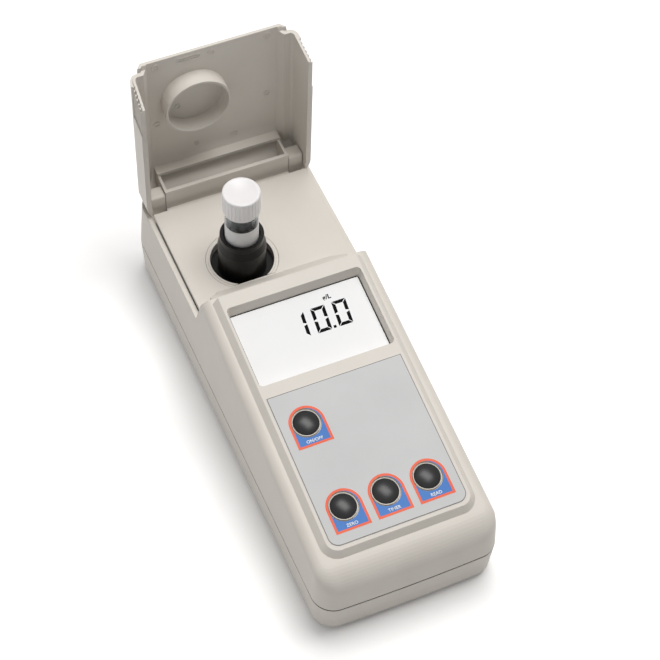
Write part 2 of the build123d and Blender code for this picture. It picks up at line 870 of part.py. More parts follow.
with BuildPart() as light_filter:
    with BuildSketch(side_plane.offset(filter_face - 1.5 * filter_thickness)):
        with Locations((at(well_distance), beam_height)):
            Circle(filter_radius)
    extrude(amount=filter_thickness)
light_filter.part.label = "light_filter"
export_step(light_filter.part, "parts/light_filter.step")

with BuildPart() as light_detector:
    with BuildSketch(Plane.XY.offset(foot_height + wall)):
        with Locations((filter_face - 2, at(well_distance))):
            Rectangle(lamp_depth, holder_width, align=(Align.MIN, Align.CENTER))
        with Locations((well_x, at(well_distance))):
            Circle(block_radius + mount_fit, mode=Mode.SUBTRACT)
    extrude(amount=holder_height)
light_detector.part.label = "light_detector"
export_step(light_detector.part, "parts/light_detector.step")

# vial adapter
socket_radius = glass_radius + fit_gap
socket_floor = glass_bottom - fit_gap
with BuildPart() as vial_adapter:
    with BuildSketch(Plane(origin=(well_x, at(well_distance), 0), x_dir=(1, 0, 0), z_dir=(0, -1, 0))):
        with BuildLine():
            Polyline(
                (0, adapter_bottom),
                (adapter_radius - 1.5, adapter_bottom),
                (adapter_radius, adapter_bottom + 1.8),
                (adapter_radius, adapter_top - 7),
                (adapter_rim_radius, adapter_top - 3),
                (adapter_rim_radius, adapter_top),
                (socket_radius + 0.6, adapter_top),
                (socket_radius, adapter_top - 0.6),
                (socket_radius, socket_floor),
                (0, socket_floor),
                close=True,
            )
        make_face()
    revolve(axis=Axis((well_x, at(well_distance), 0), (0, 0, 1)))
vial_adapter.part.label = "vial_adapter"
export_step(vial_adapter.part, "parts/vial_adapter.step")

# glass vial with neck
neck_top = cap_top - 2.6
with BuildPart() as sample_vial:
    with BuildSketch(Plane(origin=(well_x, at(well_distance), 0), x_dir=(1, 0, 0), z_dir=(0, -1, 0))):
        with BuildLine():
            Polyline(
                (0, glass_bottom),
                (glass_radius - 0.8, glass_bottom),
                (glass_radius, glass_bottom + 0.8),
                (glass_radius, glass_shoulder - 1.6),
                (neck_radius, glass_shoulder - 0.3),
                (neck_radius, neck_top),
                (neck_radius - glass_wall, neck_top),
                (neck_radius - glass_wall, glass_shoulder - 1.6),
                (glass_radius - glass_wall, glass_shoulder - 3.4),
                (glass_radius - glass_wall, glass_bottom + 1.6),
                (0, glass_bottom + 1.6),
                close=True,
            )
        make_face()
    revolve(axis=Axis((well_x, at(well_distance), 0), (0, 0, 1)))
sample_vial.part.label = "sample_vial"
export_step(sample_vial.part, "parts/sample_vial.step")

with BuildPart() as vial_sample:
    with BuildSketch(Plane.XY.offset(glass_bottom + 1.6)):
        with Locations((well_x, at(well_distance))):
            Circle(glass_radius - glass_wall)
    extrude(amount=sample_level - glass_bottom - 1.6)
vial_sample.part.label = "vial_sample"
export_step(vial_sample.part, "parts/vial_sample.step")

with BuildPart() as vial_band:
    with BuildSketch(Plane.XY.offset(band_bottom)):
        with Locations((well_x, at(well_distance))):
            Circle(glass_radius + band_thickness)
            Circle(glass_radius, mode=Mode.SUBTRACT)
    extrude(amount=band_height)
vial_band.part.label = "vial_band"
export_step(vial_band.part, "parts/vial_band.step")

# ribbed cap
with BuildPart() as vial_cap:
    with BuildSketch(Plane.XY.offset(glass_shoulder)):
        with Locations((well_x, at(well_distance))):
            Circle(cap_radius)
            with PolarLocations(cap_radius + 0.1, cap_ribs):
                Circle(rib_groove, mode=Mode.SUBTRACT)
    extrude(amount=cap_height - cap_top_band)
    with BuildSketch(Plane.XY.offset(cap_top - cap_top_band)):
        with Locations((well_x, at(well_distance))):
            Circle(cap_radius)
    extrude(amount=cap_top_band)
    fillet(vial_cap.faces().sort_by(Axis.Z)[-1].edges(), cap_edge)
    with BuildSketch(Plane.XY.offset(glass_shoulder)):
        with Locations((well_x, at(well_distance))):
            Circle(neck_radius + fit_gap)
    extrude(amount=neck_top + fit_gap - glass_shoulder, mode=Mode.SUBTRACT)
vial_cap.part.label = "vial_cap"
export_step(vial_cap.part, "parts/vial_cap.step")

# battery and its clip
battery_bottom = foot_height + wall + fit_gap
with BuildPart() as battery:
    with BuildSketch(Plane.XY.offset(battery_bottom)):
        with Locations((0, at(battery_distance - 2))):
            Rectangle(battery_width, battery_length - 2)
    extrude(amount=battery_thickness)
    fillet(battery.edges().filter_by(Axis.Y), 1.5)
battery.part.label = "battery"
export_step(battery.part, "parts/battery.step")

clip_start = battery_distance - 2 + (battery_length - 2) / 2
with BuildPart() as battery_clip:
    with BuildSketch(Plane.XY.offset(battery_bottom + 3)):
        with Locations((0, at(clip_start))):
            Rectangle(clip_width, clip_depth, align=(Align.CENTER, Align.MIN))
    extrude(amount=clip_height)
battery_clip.part.label = "battery_clip"
export_step(battery_clip.part, "parts/battery_clip.step")

# power inlet
jack_face = at(body_length - wall - lower_side_inset)
with BuildPart() as power_jack:
    with BuildSketch(Plane.XY.offset(foot_height + wall)):
        with Locations((jack_x, jack_face)):
            Rectangle(jack_width, jack_depth, align=(Align.CENTER, Align.MAX))
    extrude(amount=2 * (jack_height - foot_height - wall) - 2)
    with BuildSketch(Plane(origin=(jack_x, jack_face, jack_height), x_dir=(1, 0, 0), z_dir=(0, 1, 0))):
        Circle(jack_collar)
    extrude(amount=wall)
    with BuildSketch(Plane(origin=(jack_x, jack_face + wall, jack_height), x_dir=(1, 0, 0), z_dir=(0, -1, 0))):
        Circle(jack_bore)
        Circle(1, mode=Mode.SUBTRACT)
    extrude(amount=jack_depth - 1, mode=Mode.SUBTRACT)
power_jack.part.label = "power_jack"
export_step(power_jack.part, "parts/power_jack.step")

# hinge pins in the ears
pin_length = ear_outer - flap_half_width + 2 * flap_rib
with BuildPart() as hinge_pins:
    for pin_start in (-ear_outer, ear_outer - pin_length):
        with BuildSketch(side_plane.offset(pin_start)):
            with Locations((at(hinge_distance), hinge_height)):
                Circle(hinge_pin_radius)
        extrude(amount=pin_length)
hinge_pins.part.label = "hinge_pins"
export_step(hinge_pins.part, "parts/hinge_pins.step")

# cover, drawn shut
cover_shoulder = cover_top - step_depth
shoulder_half = half_at(cover_shoulder)
rim_half = half_at(cover_rim)
cover_radius = min(shoulder_radius, 0.95 * (shoulder_half - panel_half_width - step_run))
cover_foot = nose_end + cover_front_gap
cover_crown = panel_rear + cover_front_gap


def cover_solid(skin, rim, top, near):
    with BuildPart() as solid:
        with BuildSketch(Plane(origin=(0, at(0), 0), x_dir=(1, 0, 0), z_dir=(0, -1, 0))) as section:
            with BuildLine():
                Polyline(
                    (-rim_half + skin, rim),
                    (-shoulder_half + skin, top - step_depth),
                    (-panel_half_width - step_run + skin, top - step_depth),
                    (-panel_half_width + skin, top),
                    (panel_half_width - skin, top),
                    (panel_half_width + step_run - skin, top - step_depth),
                    (shoulder_half - skin, top - step_depth),
                    (rim_half - skin, rim),
                    close=True,
                )
            make_face()
            corners = section.vertices().group_by(Axis.Y)[1].sort_by(Axis.X)
            fillet([corners[0], corners[-1]], cover_radius - skin)
        extrude(amount=-body_length)
        with BuildSketch(side_plane):
            with BuildLine():
                rear_start = Polyline(
                    (at(cover_foot + near), rim - 1),
                    (at(cover_foot + near - nose_lean), shoulder_rear - 0.8),
                    (at(cover_crown + near), shoulder_rear - fit_gap),
                    (at(cover_crown + near), top + 1),
                    (at(cover_rear - 19 - skin), top + 1),
                    (at(cover_rear - 19 - skin), top),
                )
                rear_curve = Spline(
                    rear_start @ 1,
                    (at(cover_rear - 11 - skin), top - 1.4),
                    (at(cover_rear - 5.5 - skin), top - 4.4),
                    (at(cover_rear - 2.5 - skin), top - 8.4),
                    (at(cover_rear - 0.5 - skin), top - 14.4),
                    tangents=((1, 0), (0.03, -1)),
                )
                Polyline(rear_curve @ 1, (at(cover_rear - skin), rim - 1), rear_start @ 0)
            make_face()
        extrude(amount=body_width, both=True, mode=Mode.INTERSECT)
        with BuildSketch(Plane.XY.offset(rim - 5)) as plan:
            with Locations((0, at(0))):
                Rectangle(2 * (rim_half - skin), cover_rear - skin, align=(Align.CENTER, Align.MIN))
            fillet(plan.vertices().sort_by(Axis.Y)[-2:], body_corner - skin)
        extrude(amount=cover_top, mode=Mode.INTERSECT)
    return solid.part


# hinge box in the cover: flap, end ribs and cross bar, trimmed to the skin
box_low = hinge_height - flap_drop
half_skin = cover_skin / 2
grip_length = grip_rear - panel_rear
grip_pitch = grip_rise / (grip_ribs + 1)
with BuildPart() as hinge_box:
    with BuildSketch(side_plane.offset(-flap_half_width)):
        with Locations((at(hinge_distance - flap_reach), box_low)):
            Rectangle(body_length, flap_thickness, align=(Align.MIN, Align.MIN))
        with Locations((at(hinge_distance - bar_reach), cover_top - cover_skin - bar_height)):
            Rectangle(bar_thickness, cover_top, align=(Align.MIN, Align.MIN))
    extrude(amount=2 * flap_half_width)
    for rib_start in (-flap_half_width, flap_half_width - flap_rib):
        with BuildSketch(side_plane.offset(rib_start)):
            with Locations((at(hinge_distance - flap_reach), box_low)):
                Rectangle(body_length, cover_top, align=(Align.MIN, Align.MIN))
        extrude(amount=flap_rib)
    add(cover_solid(half_skin, cover_rim, cover_top - half_skin, 0), mode=Mode.INTERSECT)

with BuildPart() as cover_shut:
    add(cover_solid(0, cover_rim, cover_top, edge_step))
    add(cover_solid(half_skin, cover_rim, cover_top - half_skin, 0))
    add(cover_solid(cover_skin, cover_rim - 3, cover_top - cover_skin, -10), mode=Mode.SUBTRACT)
    # light collar round the vial
    with BuildSketch(Plane.XY.offset(cover_top - cover_skin - collar_depth)):
        with Locations((well_x, at(collar_distance))):
            Circle(collar_radius)
            Circle(collar_radius - collar_wall, mode=Mode.SUBTRACT)
    extrude(amount=collar_depth + half_skin)
    add(hinge_box.part)
    # pin holes
    with BuildSketch(side_plane.offset(-flap_half_width - 1)):
        with Locations((at(hinge_distance), hinge_height)):
            Circle(hinge_pin_radius + hinge_fit)
    extrude(amount=2 * flap_half_width + 2, mode=Mode.SUBTRACT)
    # notches over the ears and small slots behind the flap
    for side in (-1, 1):
        with BuildSketch(Plane.XY.offset(cover_rim - 1)):
            with Locations((side * (ear_inner + ear_outer) / 2, at(hinge_distance - ear_reach))):
                Rectangle(ear_width + 2 * ear_gap, body_corner + ear_depth, align=(Align.CENTER, Align.MIN))
        extrude(amount=hinge_height + ear_rise + notch_rise - cover_rim + 1, mode=Mode.SUBTRACT)
        with BuildSketch(Plane.XY.offset(box_low + flap_thickness)):
            with Locations((side * slot_x, at(cover_rear + 1))):
                Rectangle(slot_width, cover_skin + 2, align=(Align.CENTER, Align.MAX))
        extrude(amount=slot_height, mode=Mode.SUBTRACT)
    # finger grips through the rim on both sides, with lengthwise ribs
    for side in (-1, 1):
        grip_plane = Plane(
            origin=(side * rim_half, at(grip_rear), cover_rim),
            x_dir=(0, side, 0),
            z_dir=(side * cos(radians(side_draft)), 0, sin(radians(side_draft))),
        )
        forward = Align.MAX if side > 0 else Align.MIN
        with BuildSketch(grip_plane.offset(-grip_rib_sunk)):
            Rectangle(grip_length, 2 * grip_rise, align=(forward, Align.CENTER))
        extrude(amount=grip_depth, mode=Mode.SUBTRACT)
        with BuildSketch(grip_plane.offset(-grip_depth)):
            with Locations(*[(0, (row + 0.5) * grip_pitch) for row in range(grip_ribs + 1)]):
                Rectangle(grip_length, grip_pitch - grip_rib, align=(forward, Align.CENTER))
        extrude(amount=grip_depth, mode=Mode.SUBTRACT)

# cover turned up to its open position
with BuildPart() as cover:
    add(cover_shut.part.rotate(Axis((0, at(hinge_distance), hinge_height), (1, 0, 0)), -90))
cover.part.label = "cover"
export_step(cover.part, "parts/cover.step")
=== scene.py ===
import math

import bmesh
import bpy
from mathutils import Matrix, Vector


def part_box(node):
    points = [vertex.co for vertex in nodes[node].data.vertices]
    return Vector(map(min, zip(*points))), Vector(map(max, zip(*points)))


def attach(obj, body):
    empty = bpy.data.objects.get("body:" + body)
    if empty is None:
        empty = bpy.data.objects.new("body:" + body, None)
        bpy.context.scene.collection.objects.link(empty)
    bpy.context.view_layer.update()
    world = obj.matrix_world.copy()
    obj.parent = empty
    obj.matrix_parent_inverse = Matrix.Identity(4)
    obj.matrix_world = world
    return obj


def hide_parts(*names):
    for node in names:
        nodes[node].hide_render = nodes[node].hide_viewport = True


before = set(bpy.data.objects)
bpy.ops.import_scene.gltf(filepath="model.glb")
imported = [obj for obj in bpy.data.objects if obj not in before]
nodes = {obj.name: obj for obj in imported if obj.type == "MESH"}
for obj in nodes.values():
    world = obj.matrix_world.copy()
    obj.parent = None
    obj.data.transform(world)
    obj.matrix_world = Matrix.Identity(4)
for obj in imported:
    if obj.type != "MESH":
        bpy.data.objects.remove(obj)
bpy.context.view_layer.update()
bpy.context.scene.view_settings.view_transform = "Standard"

# lengths on the object are in millimetres, places of the camera, lamp and floor in metres
MM = 0.001

# camera, fitted to the photo, with the width of its sensor in millimetres
IMAGE_SIDE = 660
FOCAL_PX = 1989.3
SENSOR = 36.0
CLIP_START = 0.01
CAMERA_AT = Vector((-0.2130, -0.4679, 0.7600))
CAMERA_AZIMUTH = math.radians(-25.508)
CAMERA_ELEVATION = math.radians(53.835)
CAMERA_ROLL = math.radians(2.630)

# sloping panel, measured along the slope from the front face of the case
FRONT = -114.7
PANEL_HEIGHT = 42.3
PANEL_ANGLE = math.radians(9.65)
PANEL_RUN = 1 / math.cos(PANEL_ANGLE)

# key label and the thin line round it
LABEL_TOP = 0.25
LABEL_HALF_WIDTH = 31.45
LABEL_FRONT = 15.7 * PANEL_RUN
LABEL_REAR = 87.1 * PANEL_RUN
LABEL_CORNER = 4.5
LABEL_LINE = 0.28
CORNER_STEPS = 10

# prints round the keys
KEY_ROW = 31.15 * PANEL_RUN
KEY_COLUMN = -19.75
KEY_PLACES = {
    "on_off": (KEY_COLUMN, 71.2 * PANEL_RUN, "ON/OFF"),
    "zero": (KEY_COLUMN, KEY_ROW, "ZERO"),
    "timer": (-0.45, KEY_ROW, "TIMER"),
    "read": (18.9, KEY_ROW, "READ"),
}
KEY_HOLE = 6.82
KEY_HOLE_STEPS = 64
ARCH_SHIFT = 0.45
ARCH_HALF = 8.05
ARCH_TOP = 7.9
ARCH_LINE = 1.1
ARCH_FOOT = 10.95
ARCH_STEPS = 40
WORD_SIZE = 2.0
WORD_WEIGHT = 0.060
WORD_RISE = 0.65
LETTER_SPACE = 1.05
LETTER_WELD = 0.00001

# thickness of the inks, and how far the blue one lies below the orange one
PRINT_THICKNESS = 0.03
THIN_PRINT = 0.012
FILL_STEP = 0.005

# reading on the display
DISPLAY_TOP = -5.0
DISPLAY_CLEAR = 0.01
DIGIT_BASE = 112.05
DIGIT_WIDTH = 6.7
DIGIT_HEIGHT = 12.4
DIGIT_SLANT = 0.09
DIGITS = [("one", -7.0, "bc"), ("two", 3.1, "abcdef"), ("three", 13.2, "abcdef")]
SEGMENT_WIDTH = 1.55
SEGMENT_GAP = 0.22
POINT_AT = (11.4, 112.75)
POINT_SIDE = 1.3
UNIT_AT = (13.35, 126.6)
UNIT_SIZE = 3.1
UNIT_WEIGHT = 0.10

# marks left by the mould inside the cover, as seen with the cover open: x, height and radius
COVER_INSIDE = 112.5
MARKS = [
    (-26.8, 122.0, 1.9), (-0.5, 122.0, 1.7), (26.3, 122.1, 1.8), (-27.5, 85.6, 1.6),
    (26.2, 85.0, 1.6), (-17.2, 93.5, 1.5), (-8.8, 65.2, 1.3), (9.7, 64.6, 1.9),
]
MARK_LINE = 0.45
MARK_PROUD = 0.30
MARK_STEPS = 32
BAR_AT = (-11.3, 122.3)
BAR_LENGTH = 11.6
BAR_WIDTH = 2.8
BAR_DOTS = 5
BAR_PITCH = 1.7
BAR_STEPS = 12
DOT_RADIUS = 0.35

# ledge of the parting groove, and the dark strip over it that paints the shadow of the deep gap
LEDGE_AT = 18.9
LEDGE_SLACK = 0.01
PAINTED_SHADOW_SCALE = 0.9985
PAINTED_SHADOW_THICKNESS = 0.04

# lip of the sample well
LIP_INNER = 14.6
LIP_OUTER = 15.6
LIP_HEIGHT = 0.35
LIP_STEPS = 72

# cap of the vial
CAP_RADIUS = 8.5
CAP_HEIGHT = 11.7
CAP_CHAMFER = 0.25
CAP_ROUND = 0.8
CAP_ROUND_STEPS = 6
CAP_RIM = 1.6
CAP_RIM_SLOPE = 0.3
CAP_DISH = 0.18
CAP_WALL = 2.5
CAP_BORE = 6.25
CAP_RIBS = 28
RIB_DEPTH = 0.32
RIB_FLAT = 0.55
RIB_STEPS = 12

# glass of the vial, with the facing values between which it turns from clear to pale at its sides: a
# painted highlight standing for the light that the glass catches there
GLASS_RADIUS = 7.55
GLASS_BORE = 6.46
GLASS_FLOOR = 1.6
GLASS_FOOT = 0.8
GLASS_FOOT_CUT = 0.25
GLASS_NECK = 6.2
GLASS_WALL = 1.1
GLASS_SHOULDER = 83.5
SHOULDER_DROP = 1.2
SHOULDER_CUT = (0.35, 0.5)
SHOULDER_INSIDE = 2.6
GLASS_STEPS = 96
GLASS_HIGHLIGHT_FACING = (0.50, 0.78)
GLASS_HIGHLIGHT_CLEAR = 0.25

# paper band on part of the vial's turn
BAND_TOP = 75.4
BAND_CLEAR = 0.01
BAND_THICKNESS = 0.11
BAND_STEPS = 72
BAND_MIDDLE = math.radians(-115)
BAND_SWEEP = math.radians(215)

# surfaces: softened case edges, fine grain, and broad mottling between two tones
CASE_EDGE = 0.3
EDGE_SAMPLES = 4
GRAIN_DEPTH = 0.06
MOTTLE_SCALE = 38.0
TONE_EDGES = (0.35, 0.65)
SHARP_ANGLE = math.radians(32)

# light
LAMP_AT = Vector((0.30, 0.15, 1.40))
LAMP_TOWARD = Vector((0, 0, 0.03))
LAMP_SIZE = (0.95, 0.60)
LAMP_POWER = 14.0
LAMP_COLOUR = (1.0, 0.992, 0.980)
SKY_COLOUR = (1.0, 0.99, 0.98, 1)
SKY_LOW = 0.03
SKY_HIGH = 0.60
SKY_EDGE = -0.7
SKY_TOWARD = (-0.38, 0.62, 0.68)
FLOOR_REACH = 6
FLOOR_GAIN = 1.27
FLOOR_GLOW = 0.02
FLOOR_NEAR = 0.30
FLOOR_FAR = 1.30


def link(obj):
    bpy.context.scene.collection.objects.link(obj)
    return obj


def place_camera():
    around = math.cos(CAMERA_ELEVATION)
    back = Vector((
        math.sin(CAMERA_AZIMUTH) * around,
        -math.cos(CAMERA_AZIMUTH) * around,
        math.sin(CAMERA_ELEVATION),
    ))
    right = Vector((math.cos(CAMERA_AZIMUTH), math.sin(CAMERA_AZIMUTH), 0.0))
    up = back.cross(right)
    rolled_right = right * math.cos(CAMERA_ROLL) + up * math.sin(CAMERA_ROLL)
    rolled_up = up * math.cos(CAMERA_ROLL) - right * math.sin(CAMERA_ROLL)
    data = bpy.data.cameras.new("camera")
    data.sensor_width = SENSOR
    data.lens = FOCAL_PX * SENSOR / IMAGE_SIDE
    data.clip_start = CLIP_START
    camera = link(bpy.data.objects.new("camera", data))
    turn = Matrix((rolled_right, rolled_up, back)).transposed().to_4x4()
    camera.matrix_world = Matrix.Translation(CAMERA_AT) @ turn
    bpy.context.scene.camera = camera


place_camera()


# shader nodes used by several materials
def new_material(name):
    material = bpy.data.materials.new(name)
    material.use_nodes = True
    tree = material.node_tree
    return material, tree, tree.nodes["Principled BSDF"]


def object_coords(tree):
    return tree.nodes.new("ShaderNodeTexCoord").outputs["Object"]


def noise(tree, coords, scale, detail, roughness):
    node = tree.nodes.new("ShaderNodeTexNoise")
    node.inputs["Scale"].default_value = scale
    node.inputs["Detail"].default_value = detail
    node.inputs["Roughness"].default_value = roughness
    tree.links.new(coords, node.inputs["Vector"])
    return node.outputs["Fac"]


def two_tone(tree, factor, dark, light):
    node = tree.nodes.new("ShaderNodeValToRGB")
    for stop, position, tone in zip(node.color_ramp.elements, TONE_EDGES, (dark, light)):
        stop.position = position
        stop.color = (*tone, 1)
    tree.links.new(factor, node.inputs["Fac"])
    return node.outputs["Color"]


def spread(tree, factor, low, high, start=0.0, end=1.0):
    node = tree.nodes.new("ShaderNodeMapRange")
    node.inputs["From Min"].default_value = start
    node.inputs["From Max"].default_value = end
    node.inputs["To Min"].default_value = low
    node.inputs["To Max"].default_value = high
    tree.links.new(factor, node.inputs["Value"])
    return node.outputs["Result"]


def combine(tree, operation, first, second):
    node = tree.nodes.new("ShaderNodeMath")
    node.operation = operation
    tree.links.new(first, node.inputs[0])
    tree.links.new(second, node.inputs[1])
    return node.outputs["Value"]


def grain(tree, shader, height, strength, depth, edge=0.0):
    node = tree.nodes.new("ShaderNodeBump")
    node.inputs["Strength"].default_value = strength
    node.inputs["Distance"].default_value = depth * MM
    tree.links.new(height, node.inputs["Height"])
    if edge:
        rounded = tree.nodes.new("ShaderNodeBevel")
        rounded.samples = EDGE_SAMPLES
        rounded.inputs["Radius"].default_value = edge * MM
        tree.links.new(rounded.outputs["Normal"], node.inputs["Normal"])
    tree.links.new(node.outputs["Normal"], shader.inputs["Normal"])


def plastic(name, dark, light, roughness, fine, strength, specular=0.45, edge=0.0):
    material, tree, shader = new_material(name)
    coords = object_coords(tree)
    mottle = noise(tree, coords, scale=MOTTLE_SCALE, detail=4.0, roughness=0.5)
    specks = noise(tree, coords, scale=fine, detail=2.0, roughness=0.6)
    tree.links.new(two_tone(tree, mottle, dark, light), shader.inputs["Base Color"])
    tree.links.new(spread(tree, mottle, *roughness), shader.inputs["Roughness"])
    grain(tree, shader, specks, strength, GRAIN_DEPTH, edge)
    shader.inputs["Specular IOR Level"].default_value = specular
    return material


def clear(name, dark, light, roughness, ior):
    material, tree, shader = new_material(name)
    streak = noise(tree, object_coords(tree), scale=220.0, detail=2.0, roughness=0.5)
    tree.links.new(two_tone(tree, streak, dark, light), shader.inputs["Base Color"])
    tree.links.new(spread(tree, streak, *roughness), shader.inputs["Roughness"])
    shader.inputs["Transmission Weight"].default_value = 1.0
    shader.inputs["IOR"].default_value = ior
    return material


# moulded and rubber finishes
def case_plastic():
    return plastic(
        "case_plastic",
        dark=(0.662, 0.624, 0.572),
        light=(0.688, 0.650, 0.598),
        roughness=(0.46, 0.56),
        fine=1800.0,
        strength=0.12,
        specular=0.35,
        edge=CASE_EDGE,
    )


def black_plastic():
    return plastic(
        "black_plastic",
        dark=(0.003, 0.0028, 0.0026),
        light=(0.007, 0.0062, 0.0056),
        roughness=(0.28, 0.38),
        fine=1500.0,
        strength=0.06,
        specular=0.22,
    )


def inner_plastic():
    return plastic(
        "inner_plastic",
        dark=(0.020, 0.020, 0.021),
        light=(0.034, 0.033, 0.033),
        roughness=(0.45, 0.60),
        fine=1500.0,
        strength=0.10,
    )


def cap_plastic():
    return plastic(
        "cap_plastic",
        dark=(0.80, 0.785, 0.785),
        light=(0.84, 0.825, 0.825),
        roughness=(0.30, 0.40),
        fine=1500.0,
        strength=0.06,
    )


def foot_rubber():
    return plastic(
        "foot_rubber",
        dark=(0.030, 0.030, 0.030),
        light=(0.050, 0.049, 0.048),
        roughness=(0.60, 0.80),
        fine=900.0,
        strength=0.30,
    )


def key_rubber():
    return plastic(
        "key_rubber",
        dark=(0.0025, 0.0025, 0.003),
        light=(0.005, 0.005, 0.006),
        roughness=(0.27, 0.33),
        fine=1400.0,
        strength=0.03,
        specular=0.36,
    )


# sheets, inks, and the painted shadow in the parting gap
def printed(name, dark, light, strength):
    return plastic(name, dark, light, roughness=(0.52, 0.62), fine=2600.0, strength=strength, specular=0.20)


def label_sheet():
    return printed("label_sheet", dark=(0.570, 0.573, 0.577), light=(0.600, 0.603, 0.607), strength=0.05)


def label_edge_ink():
    return plastic(
        "label_edge_ink",
        dark=(0.17, 0.16, 0.15),
        light=(0.21, 0.20, 0.19),
        roughness=(0.50, 0.60),
        fine=2600.0,
        strength=0.05,
        specular=0.15,
    )


def orange_print():
    return printed("orange_print", dark=(0.84, 0.150, 0.080), light=(0.88, 0.175, 0.096), strength=0.04)


def blue_print():
    return printed("blue_print", dark=(0.072, 0.205, 0.550), light=(0.088, 0.235, 0.600), strength=0.04)


def white_print():
    return printed("white_print", dark=(0.80, 0.83, 0.87), light=(0.86, 0.89, 0.92), strength=0.03)


def black_print():
    return plastic(
        "black_print",
        dark=(0.002, 0.002, 0.0025),
        light=(0.004, 0.004, 0.0045),
        roughness=(0.55, 0.65),
        fine=2600.0,
        strength=0.03,
        specular=0.04,
    )


# near-black finish that paints the shadow inside the parting gap
def painted_gap_shadow():
    return plastic(
        "painted_gap_shadow",
        dark=(0.030, 0.027, 0.024),
        light=(0.042, 0.038, 0.034),
        roughness=(0.60, 0.75),
        fine=2600.0,
        strength=0.05,
        specular=0.10,
    )


def band_paper():
    return plastic(
        "band_paper",
        dark=(0.70, 0.70, 0.70),
        light=(0.78, 0.78, 0.78),
        roughness=(0.50, 0.62),
        fine=1200.0,
        strength=0.12,
    )


# display, board, battery and screws
def display_face():
    return plastic(
        "display_face",
        dark=(0.855, 0.860, 0.866),
        light=(0.875, 0.880, 0.886),
        roughness=(0.34, 0.40),
        fine=300.0,
        strength=0.01,
        specular=0.04,
    )


def board_green():
    return plastic(
        "board_green",
        dark=(0.020, 0.130, 0.050),
        light=(0.030, 0.170, 0.068),
        roughness=(0.30, 0.40),
        fine=700.0,
        strength=0.10,
    )


def battery_can():
    return plastic(
        "battery_can",
        dark=(0.030, 0.032, 0.045),
        light=(0.050, 0.052, 0.070),
        roughness=(0.25, 0.35),
        fine=600.0,
        strength=0.06,
    )


def zinc_steel():
    material, tree, shader = new_material("zinc_steel")
    specks = noise(tree, object_coords(tree), scale=900.0, detail=3.0, roughness=0.6)
    tone = two_tone(tree, specks, dark=(0.42, 0.42, 0.43), light=(0.60, 0.60, 0.61))
    tree.links.new(tone, shader.inputs["Base Color"])
    tree.links.new(spread(tree, specks, 0.24, 0.42), shader.inputs["Roughness"])
    shader.inputs["Metallic"].default_value = 1.0
    grain(tree, shader, specks, strength=0.10, depth=0.05)
    return material


# glass and liquid
def vial_glass():
    material = clear(
        "vial_glass",
        dark=(0.90, 0.94, 0.94),
        light=(0.97, 0.99, 0.99),
        roughness=(0.0, 0.03),
        ior=1.45,
    )
    tree = material.node_tree
    # less clear and paler towards the sides as the camera sees them: painted highlight
    facing = tree.nodes.new("ShaderNodeLayerWeight")
    facing.inputs["Blend"].default_value = 0.5
    painted_highlight = spread(tree, facing.outputs["Facing"], 1.0, GLASS_HIGHLIGHT_CLEAR, *GLASS_HIGHLIGHT_FACING)
    tree.links.new(painted_highlight, tree.nodes["Principled BSDF"].inputs["Transmission Weight"])
    return material


def vial_liquid():
    return clear(
        "vial_liquid",
        dark=(0.88, 0.93, 0.96),
        light=(0.94, 0.97, 0.99),
        roughness=(0.0, 0.03),
        ior=1.33,
    )


def lamp_lens():
    return clear(
        "lamp_lens",
        dark=(0.90, 0.88, 0.76),
        light=(0.97, 0.95, 0.84),
        roughness=(0.05, 0.08),
        ior=1.5,
    )


def filter_glass():
    return clear(
        "filter_glass",
        dark=(0.45, 0.20, 0.50),
        light=(0.60, 0.30, 0.62),
        roughness=(0.02, 0.05),
        ior=1.5,
    )


# finishes that the nodes share with pieces made below
case_finish = case_plastic()
ink_finish = black_print()
glass_finish = vial_glass()
paper_finish = band_paper()
cap_finish = cap_plastic()

INNER_NODES = [
    "display_carrier", "key_switches", "board_chips", "sounder",
    "lamp_holder", "light_detector", "battery_clip", "power_jack",
]
FINISHES = [
    (case_finish, ["upper_shell", "lower_shell", "battery_door", "cover", "well_ring"]),
    (foot_rubber(), ["rubber_feet"]),
    (zinc_steel(), ["housing_screws", "board_screws", "hinge_pins"]),
    (label_sheet(), ["key_label"]),
    (key_rubber(), ["on_off_key", "zero_key", "timer_key", "read_key"]),
    (display_face(), ["display_glass"]),
    (ink_finish, ["display_frame"]),
    (board_green(), ["main_board"]),
    (inner_plastic(), INNER_NODES),
    (black_plastic(), ["well_block", "vial_adapter"]),
    (lamp_lens(), ["lamp"]),
    (filter_glass(), ["light_filter"]),
    (glass_finish, ["sample_vial"]),
    (vial_liquid(), ["vial_sample"]),
    (paper_finish, ["vial_band"]),
    (cap_finish, ["vial_cap"]),
    (battery_can(), ["battery"]),
]
for finish, names in FINISHES:
    for name in names:
        nodes[name].data.materials.clear()
        nodes[name].data.materials.append(finish)


# places for flat pieces: on the sloping panel, inside the open cover and on the level deck
def on_panel(x, along, height):
    slope = Vector((0, math.cos(PANEL_ANGLE), math.sin(PANEL_ANGLE)))
    normal = Vector((0, -math.sin(PANEL_ANGLE), math.cos(PANEL_ANGLE)))
    return (Vector((x, FRONT, PANEL_HEIGHT)) + slope * along + normal * height) * MM


def in_cover(x, height, proud):
    return Vector((x, COVER_INSIDE - proud, height)) * MM


def on_deck(x, y, height):
    return Vector((x, y, height)) * MM


# outlines
def arc(x, y, radius, start, end, steps):
    turns = [start + (end - start) * step / steps for step in range(steps + 1)]
    return [(x + radius * math.cos(turn), y + radius * math.sin(turn)) for turn in turns]


def ring(x, y, radius, steps):
    return arc(x, y, radius, 0, 2 * math.pi, steps)[:-1]


# pieces made from meshes
def piece(name, bm, material, body, smooth=False):
    bmesh.ops.recalc_face_normals(bm, faces=bm.faces[:])
    mesh = bpy.data.meshes.new(name)
    bm.to_mesh(mesh)
    bm.free()
    mesh.materials.append(material)
    if smooth:
        mesh.shade_smooth()
        mesh.set_sharp_from_angle(angle=SHARP_ANGLE)
    obj = link(bpy.data.objects.new(name, mesh))
    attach(obj, body)
    return obj


